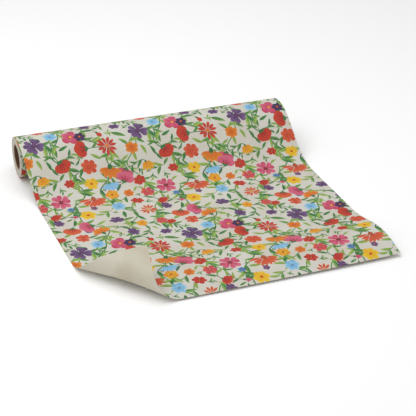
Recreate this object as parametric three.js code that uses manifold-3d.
// A roll of wrapping paper that lies on a table with its first half metre drawn off.
// The paper is wound on a spiral-wound kraft core. Its outermost turn comes over the top of the
// roll, lets go, drops to the table and lies there as a flat sheet with one curled-back corner.
//
// Millimetres, +Z up. X runs along the roll from its left end, and the paper is drawn towards -Y.
// Everything is built with the roll's axis above y = 0, then the whole model is moved so that its
// origin is the middle of the rectangle it covers on the table.

import * as THREE from 'three';
import { mergeVertices } from 'three/addons/utils/BufferGeometryUtils.js';
import Module from 'manifold-3d';

const wasm = await Module();
wasm.setup();

// ---------------------------------------------------------------- driving dimensions

// paper
const PAPER_WIDTH = 500;            // width of the paper, and so the length of the roll
const PAPER_THICKNESS = 0.4;        // a printed sheet, made thick enough to be a solid
const DRAWN_LENGTH = 491;           // paper past the top of the roll, measured along the sheet
const DRIFT = 0.038;                // sideways run per unit of drawn length: it is pulled askew
const SEAM_PAST_TOE = 14;           // flat paper that still belongs to the ramp

// roll
const WOUND_RADIUS = 36.1;          // outside of the windings that turn with the core
const CLEARANCE = 0.3;              // gap between pieces that touch
const OUTER_TURN_FROM = -195;       // degrees round the roll from its top, where the last turn starts
const LIFT_OFF_ANGLE = -12;         // degrees from the top, where the paper lets go of the roll

// the way down to the table
const SHOULDER_ANGLE = 34;          // slope at the end of the soft bend over the roll
const SHOULDER_LENGTH = 50;
const RAMP_ANGLE = 45;              // slope at the foot of the ramp
const RAMP_LENGTH = 50;

// the low wave near the free edge
const WAVE_BACK = 61;               // crest, measured back from the free edge
const WAVE_HALF_LENGTH = 104;
const WAVE_HEIGHT_LEFT = 8;
const WAVE_HEIGHT_RIGHT = 16;

// the curled corner
const CORNER_ALONG = 155;           // curled part of the left edge
const CORNER_ACROSS = 123;          // curled part of the free edge
const CURL_RADIUS = 20;             // outside of the curl
const CURL_TURN = 162;              // degrees that the corner is rolled over
const CURL_GAP = 0.6;               // cut between the flat sheet and the curl
const TIP_WIDTH = 0.8;              // blunt end of the corner

// core
const CORE_BORE_RADIUS = 20.3;
const PLY_THICKNESS = 0.5;
const CORE_RECESS = 1;              // the core is this much shorter than the paper at each end
const STRIP_WIDTH = 70;             // width of the kraft strip before it is wound
const STRIP_GAP = 0.4;              // between the edges of neighbouring turns of one strip

// strip of tape that holds the paper's inner end on the core
const TAPE_WIDTH = 18;
const TAPE_THICKNESS = 0.12;
const TAPE_MARGIN = 1;              // free width beside the tape in the windings

// how finely round shapes are cut
const CORE_SIDES = 24;
const ROLL_SIDES = 72;
const PATH_STEP = 2;                // step of the running sum along the sheet
const BEND_STEPS = 8;
const WAVE_STEPS = 12;
const ACROSS_STEPS = 8;
const CURL_STEPS = 9;
const CURL_COLUMNS = 8;

// ---------------------------------------------------------------- sizes that follow

const RAD = Math.PI / 180;
const UNDERSIDE_RADIUS = WOUND_RADIUS + CLEARANCE;
const ROLL_RADIUS = UNDERSIDE_RADIUS + PAPER_THICKNESS;
const LIFT_OFF_ALONG = UNDERSIDE_RADIUS * LIFT_OFF_ANGLE * RAD;
const SHOULDER_ALONG = LIFT_OFF_ALONG + SHOULDER_LENGTH;
const RAMP_ALONG = SHOULDER_ALONG + RAMP_LENGTH;
const HALF_TURN = (CURL_TURN / 2) * RAD;

// ---------------------------------------------------------------- the paper's path

// An arc whose slope turns steadily from one angle to another drops and runs by these amounts.
function arcDrop(length, from, to) {
  return (length * (Math.cos(from * RAD) - Math.cos(to * RAD))) / ((to - from) * RAD);
}

const LIFT_OFF_HEIGHT = ROLL_RADIUS + UNDERSIDE_RADIUS * Math.cos(LIFT_OFF_ANGLE * RAD);
const SHOULDER_DROP = arcDrop(SHOULDER_LENGTH, LIFT_OFF_ANGLE, SHOULDER_ANGLE);
const RAMP_DROP = arcDrop(RAMP_LENGTH, SHOULDER_ANGLE, RAMP_ANGLE);
// the last bend is as long as it must be to arrive level on the table
const TOE_LENGTH = (LIFT_OFF_HEIGHT - SHOULDER_DROP - RAMP_DROP) / arcDrop(1, RAMP_ANGLE, 0);
const TOE_ALONG = RAMP_ALONG + TOE_LENGTH;
const SEAM_ALONG = TOE_ALONG + SEAM_PAST_TOE;
const CREST_ALONG = DRAWN_LENGTH - WAVE_BACK;

// Slope of the sheet in degrees, downhill towards the free edge.
function slopeAt(along) {
  if (along < SHOULDER_ALONG) {
    const part = (along - LIFT_OFF_ALONG) / SHOULDER_LENGTH;
    return LIFT_OFF_ANGLE + (SHOULDER_ANGLE - LIFT_OFF_ANGLE) * part;
  }
  if (along < RAMP_ALONG) {
    const part = (along - SHOULDER_ALONG) / RAMP_LENGTH;
    return SHOULDER_ANGLE + (RAMP_ANGLE - SHOULDER_ANGLE) * part;
  }
  return RAMP_ANGLE * Math.max(0, (TOE_ALONG - along) / TOE_LENGTH);
}

// Height of the low wave, which grows from the left edge to the right edge.
function waveAt(across, along) {
  const part = (along - CREST_ALONG) / WAVE_HALF_LENGTH;
  if (Math.abs(part) > 1) return 0;
  const share = (across / PAPER_WIDTH) ** 3;
  const height = WAVE_HEIGHT_LEFT + (WAVE_HEIGHT_RIGHT - WAVE_HEIGHT_LEFT) * share;
  return (height * (1 + Math.cos(Math.PI * part))) / 2;
}

function driftAt(along) {
  return DRIFT * Math.max(0, along - LIFT_OFF_ALONG);
}

// Underside of the paper at a place given by its distance across and along the sheet.
function sheetPoint(across, along) {
  let y = -UNDERSIDE_RADIUS * Math.sin(LIFT_OFF_ANGLE * RAD);
  let z = LIFT_OFF_HEIGHT;
  let wave = 0;
  const steps = Math.max(1, Math.ceil((along - LIFT_OFF_ALONG) / PATH_STEP));
  const step = (along - LIFT_OFF_ALONG) / steps;
  for (let i = 0; i < steps; i += 1) {
    const slope = slopeAt(LIFT_OFF_ALONG + (i + 0.5) * step) * RAD;
    const nextWave = waveAt(across, LIFT_OFF_ALONG + (i + 1) * step);
    const rise = nextWave - wave;
    y -= Math.sqrt(Math.max(0, (step * Math.cos(slope)) ** 2 - rise * rise));
    z -= step * Math.sin(slope);
    wave = nextWave;
  }
  const level = along >= TOE_ALONG ? 0 : z;
  return new THREE.Vector3(across + driftAt(along), y, level + wave);
}

// Underside of the outermost turn, at an angle from the top of the roll.
function turnPoint(across, angle) {
  const y = -UNDERSIDE_RADIUS * Math.sin(angle * RAD);
  const z = ROLL_RADIUS + UNDERSIDE_RADIUS * Math.cos(angle * RAD);
  return new THREE.Vector3(across, y, z);
}

// ---------------------------------------------------------------- making solids

const range = (count, from, to) =>
  Array.from({ length: count + 1 }, (_, i) => from + ((to - from) * i) / count);

// Volume inside a closed mesh, positive when its faces point out.
function signedVolume(positions, index) {
  const point = (i) => new THREE.Vector3().fromArray(positions, 3 * index[i]);
  let volume = 0;
  for (let i = 0; i < index.length; i += 3) {
    volume += point(i).dot(point(i + 1).cross(point(i + 2))) / 6;
  }
  return volume;
}

// A closed shell between two grids of points, rows by columns, of the same size.
function slabGeometry(lower, upper) {
  const rows = lower.length;
  const columns = lower[0].length;
  const positions = [...lower.flat(), ...upper.flat()].flatMap((p) => p.toArray());
  const at = (layer, row, column) => layer * rows * columns + row * columns + column;
  const index = [];
  const quad = (a, b, c, d) => index.push(a, b, c, a, c, d);
  for (let r = 0; r < rows - 1; r += 1) {
    for (let c = 0; c < columns - 1; c += 1) {
      quad(at(0, r, c), at(0, r, c + 1), at(0, r + 1, c + 1), at(0, r + 1, c));
      quad(at(1, r, c), at(1, r + 1, c), at(1, r + 1, c + 1), at(1, r, c + 1));
    }
    quad(at(0, r, 0), at(0, r + 1, 0), at(1, r + 1, 0), at(1, r, 0));
    const end = columns - 1;
    quad(at(0, r, end), at(1, r, end), at(1, r + 1, end), at(0, r + 1, end));
  }
  for (let c = 0; c < columns - 1; c += 1) {
    const end = rows - 1;
    quad(at(0, 0, c), at(1, 0, c), at(1, 0, c + 1), at(0, 0, c + 1));
    quad(at(0, end, c), at(0, end, c + 1), at(1, end, c + 1), at(1, end, c));
  }
  if (signedVolume(positions, index) < 0) index.reverse();
  const geometry = new THREE.BufferGeometry();
  geometry.setAttribute('position', new THREE.Float32BufferAttribute(positions, 3));
  geometry.setIndex(index);
  return geometry;
}

// The same points pushed out by the paper's thickness along the sheet's upward normal.
function upperSide(grid) {
  return grid.map((row, r) => row.map((point, c) => {
    const before = grid[Math.max(0, r - 1)][c];
    const after = grid[Math.min(grid.length - 1, r + 1)][c];
    const forward = after.clone().sub(before).normalize();
    const normal = new THREE.Vector3(1, 0, 0).cross(forward).negate().normalize();
    return point.clone().addScaledVector(normal, PAPER_THICKNESS);
  }));
}

function toManifold(geometry) {
  const bare = geometry.clone();
  bare.deleteAttribute('normal');
  bare.deleteAttribute('uv');
  const merged = mergeVertices(bare, 1e-5);
  return new wasm.Manifold(new wasm.Mesh({
    numProp: 3,
    vertProperties: new Float32Array(merged.attributes.position.array),
    triVerts: new Uint32Array(merged.index.array),
  }));
}

function toGeometry(manifold) {
  const mesh = manifold.getMesh();
  const geometry = new THREE.BufferGeometry();
  geometry.setAttribute('position', new THREE.BufferAttribute(mesh.vertProperties, 3));
  geometry.setIndex(new THREE.BufferAttribute(mesh.triVerts, 1));
  return geometry;
}

// Extrudes a shape drawn in the (Y, Z) plane along X.
function alongX(shape, length) {
  const geometry = new THREE.ExtrudeGeometry(shape, { depth: length, bevelEnabled: false });
  const toX = new THREE.Matrix4().set(0, 0, 1, 0, 1, 0, 0, 0, 0, 1, 0, 0, 0, 0, 0, 1);
  return geometry.applyMatrix4(toX);
}

// ---------------------------------------------------------------- materials and nodes

const material = (color, roughness) =>
  new THREE.MeshStandardMaterial({ color, roughness, metalness: 0 });
const PRINTED = 0xdedad2;
const KRAFT = 0x8a5f3c;
const KRAFT_INSIDE = 0x6b4526;
const PAPER_EDGES = 0xd2ccc0;
const TAPE = 0xe6dfc4;

const roll = new THREE.Group();
function addNode(name, geometry, color, roughness = 0.85) {
  const mesh = new THREE.Mesh(geometry, material(color, roughness));
  mesh.name = name;
  roll.add(mesh);
  return mesh;
}

// ---------------------------------------------------------------- core

const plyRadius = (ply) => CORE_BORE_RADIUS + ply * (PLY_THICKNESS + CLEARANCE);
const CORE_RADIUS = plyRadius(2) + PLY_THICKNESS;
const CORE_LENGTH = PAPER_WIDTH - 2 * CORE_RECESS;

// One kraft strip wound edge to edge into a tube, trimmed square at both ends. Each strip
// starts a third of a pitch after the one below it, so that no two seams lie together.
function spiralPly(ply) {
  const inner = plyRadius(ply);
  const outer = inner + PLY_THICKNESS;
  const girth = 2 * Math.PI * inner;
  const pitch = girth * Math.tan(Math.asin(STRIP_WIDTH / girth));
  const turns = Math.ceil(PAPER_WIDTH / pitch) + 2;
  const start = (ply * pitch) / 3 - 1.5 * pitch;
  const lower = [];
  const upper = [];
  for (let i = 0; i <= turns * CORE_SIDES; i += 1) {
    const angle = (2 * Math.PI * i) / CORE_SIDES;
    const left = start + (pitch * i) / CORE_SIDES;
    const right = left + pitch - STRIP_GAP;
    const ring = (radius) => [left, right].map((x) => new THREE.Vector3(
      x, radius * Math.cos(angle), ROLL_RADIUS + radius * Math.sin(angle)));
    lower.push(ring(inner));
    upper.push(ring(outer));
  }
  const trim = new THREE.BoxGeometry(CORE_LENGTH, 4 * CORE_RADIUS, 4 * CORE_RADIUS);
  trim.translate(PAPER_WIDTH / 2, 0, ROLL_RADIUS);
  const strip = toManifold(slabGeometry(lower, upper));
  return toGeometry(strip.intersect(toManifold(trim)));
}

addNode('core_inner_ply', spiralPly(0), KRAFT_INSIDE, 0.9);
addNode('core_middle_ply', spiralPly(1), KRAFT, 0.9);
addNode('core_outer_ply', spiralPly(2), KRAFT, 0.9);

// ---------------------------------------------------------------- windings and their tape

const TAPE_RADIUS = CORE_RADIUS + CLEARANCE;
const POCKET_RADIUS = TAPE_RADIUS + TAPE_THICKNESS + CLEARANCE;
const TAPE_HALF_ANGLE = TAPE_WIDTH / 2 / TAPE_RADIUS;
const POCKET_HALF_ANGLE = (TAPE_WIDTH / 2 + TAPE_MARGIN) / TAPE_RADIUS;
const TAPE_STEPS = 6;

function arcPoints(radius, from, to, steps) {
  return range(steps, from, to).map((angle) => new THREE.Vector2(
    radius * Math.cos(angle), ROLL_RADIUS + radius * Math.sin(angle)));
}

function tapeGeometry() {
  const outline = [
    ...arcPoints(TAPE_RADIUS + TAPE_THICKNESS, -TAPE_HALF_ANGLE, TAPE_HALF_ANGLE, TAPE_STEPS),
    ...arcPoints(TAPE_RADIUS, TAPE_HALF_ANGLE, -TAPE_HALF_ANGLE, TAPE_STEPS),
  ];
  return alongX(new THREE.Shape(outline), CORE_LENGTH).translate(CORE_RECESS, 0, 0);
}

// The paper still on the roll. Its first turns rise over the tape, which leaves a shallow
// pocket in the bore.
function windingsGeometry() {
  const outside = arcPoints(WOUND_RADIUS, 0, 2 * Math.PI, ROLL_SIDES).slice(0, -1);
  const bore = [
    ...arcPoints(TAPE_RADIUS, POCKET_HALF_ANGLE, 2 * Math.PI - POCKET_HALF_ANGLE, 2 * CORE_SIDES),
    ...arcPoints(POCKET_RADIUS, -POCKET_HALF_ANGLE, POCKET_HALF_ANGLE, TAPE_STEPS),
  ];
  const shape = new THREE.Shape(outside);
  shape.holes.push(new THREE.Path(bore.reverse()));
  return alongX(shape, PAPER_WIDTH);
}

addNode('start_tape', tapeGeometry(), TAPE, 0.4);
addNode('wound_paper', windingsGeometry(), PAPER_EDGES);

// ---------------------------------------------------------------- outermost turn and ramp

function outerTurnGeometry() {
  const turnStep = 360 / ROLL_SIDES;
  const whole = Math.floor((LIFT_OFF_ANGLE - OUTER_TURN_FROM) / turnStep - 0.25);
  const angles = range(whole, OUTER_TURN_FROM, OUTER_TURN_FROM + whole * turnStep);
  angles.push(LIFT_OFF_ANGLE);
  const side = (extra) => angles.map((angle) => [0, PAPER_WIDTH].map((across) => {
    const point = turnPoint(across, angle);
    const outward = new THREE.Vector3(0, -Math.sin(angle * RAD), Math.cos(angle * RAD));
    return point.addScaledVector(outward, extra);
  }));
  return slabGeometry(side(0), side(PAPER_THICKNESS));
}

// From the lift-off line over the shoulder, down the ramp and a little way onto the table.
function rampGeometry() {
  const alongs = [
    ...range(BEND_STEPS, LIFT_OFF_ALONG + CLEARANCE, SHOULDER_ALONG),
    ...range(BEND_STEPS / 2, SHOULDER_ALONG, RAMP_ALONG).slice(1),
    ...range(BEND_STEPS, RAMP_ALONG, TOE_ALONG).slice(1),
    SEAM_ALONG,
  ];
  const grid = alongs.map((along) => [0, PAPER_WIDTH].map((across) => sheetPoint(across, along)));
  return slabGeometry(grid, upperSide(grid));
}

addNode('outer_turn', outerTurnGeometry(), PRINTED);
addNode('ramp_sheet', rampGeometry(), PRINTED);

// ---------------------------------------------------------------- sheet on the table

// The curl starts on a straight line from the left edge to the free edge.
const cornerPoint = sheetPoint(0, DRAWN_LENGTH).setZ(0);
const edgeDirection = new THREE.Vector3(-DRIFT, 1, 0).normalize();
const foldStart = cornerPoint.clone().addScaledVector(edgeDirection, CORNER_ALONG);
const foldEnd = cornerPoint.clone().add(new THREE.Vector3(CORNER_ACROSS, 0, 0));
const foldDirection = foldEnd.clone().sub(foldStart).normalize();
const outDirection = new THREE.Vector3(foldDirection.y, -foldDirection.x, 0);
const foldLength = foldEnd.distanceTo(foldStart);
const cornerDepth = cornerPoint.clone().sub(foldStart).dot(outDirection);
const cornerRun = cornerPoint.clone().sub(foldStart).dot(foldDirection);

// A prism over everything beyond the fold line, and a narrow cut before it.
function cornerPrism() {
  const reach = 2 * foldLength;
  const gap = foldStart.clone().addScaledVector(outDirection, -CURL_GAP);
  const corners = [
    gap.clone().addScaledVector(foldDirection, -reach),
    gap.clone().addScaledVector(foldDirection, 2 * reach),
    gap.clone().addScaledVector(foldDirection, 2 * reach).addScaledVector(outDirection, reach),
    gap.clone().addScaledVector(foldDirection, -reach).addScaledVector(outDirection, reach),
  ];
  const shape = new THREE.Shape(corners.map((p) => new THREE.Vector2(p.x, p.y)));
  const geometry = new THREE.ExtrudeGeometry(shape, { depth: 4 * CURL_RADIUS, bevelEnabled: false });
  return geometry.translate(0, 0, -2 * CURL_RADIUS);
}

function frontSheetGeometry() {
  const alongs = [
    SEAM_ALONG + CLEARANCE,
    ...range(WAVE_STEPS, CREST_ALONG - WAVE_HALF_LENGTH, DRAWN_LENGTH),
  ];
  const acrosses = range(ACROSS_STEPS, 0, PAPER_WIDTH);
  const grid = alongs.map((along) => acrosses.map((across) => sheetPoint(across, along)));
  const whole = toManifold(slabGeometry(grid, upperSide(grid)));
  return toGeometry(whole.subtract(toManifold(cornerPrism())));
}

addNode('front_sheet', frontSheetGeometry(), PRINTED);

// ---------------------------------------------------------------- curled corner

// Ends of the line across the corner at a distance beyond the fold, as distances along the fold.
function cornerSpan(distance) {
  const part = distance / cornerDepth;
  return [cornerRun * part, foldLength + (cornerRun - foldLength) * part];
}

// Height of the low wave under a place on the fold line.
function waveAtFold(foot) {
  const along = DRAWN_LENGTH - (foot.y - cornerPoint.y);
  return waveAt(foot.x - driftAt(along), along);
}

// The paper rolls up and over a round of CURL_RADIUS, then runs on straight to its tip. Its
// plain back is on the outside of the curl, which starts as high as the wave has lifted the sheet.
function curlPoint(run, distance, depth) {
  const turn = Math.min(distance / CURL_RADIUS, CURL_TURN * RAD);
  const straight = distance - CURL_RADIUS * turn;
  const radius = CURL_RADIUS - depth;
  const out = radius * Math.sin(turn) + straight * Math.cos(turn);
  const up = CURL_RADIUS - radius * Math.cos(turn) + straight * Math.sin(turn);
  const foot = foldStart.clone().addScaledVector(foldDirection, run);
  return foot.clone().addScaledVector(outDirection, out).setZ(up + waveAtFold(foot));
}

function curlGeometry(distances) {
  const side = (depth) => distances.map((distance) => range(CURL_COLUMNS, ...cornerSpan(distance))
    .map((run) => curlPoint(run, distance, depth)));
  return slabGeometry(side(0), side(PAPER_THICKNESS));
}

const HALF_CURL = CURL_RADIUS * HALF_TURN;
const WHOLE_CURL = 2 * HALF_CURL;
const TIP_DISTANCE = cornerDepth * (1 - TIP_WIDTH / foldLength);
addNode('corner_curl', curlGeometry(range(CURL_STEPS, 0, HALF_CURL - CLEARANCE)), PRINTED);
addNode('corner_tip', curlGeometry([
  ...range(CURL_STEPS, HALF_CURL, WHOLE_CURL),
  TIP_DISTANCE,
]), PRINTED);

// ---------------------------------------------------------------- place the origin

const bounds = new THREE.Box3().setFromObject(roll);
const middle = bounds.getCenter(new THREE.Vector3());
roll.position.set(-middle.x, -middle.y, -bounds.min.z);

export default roll;
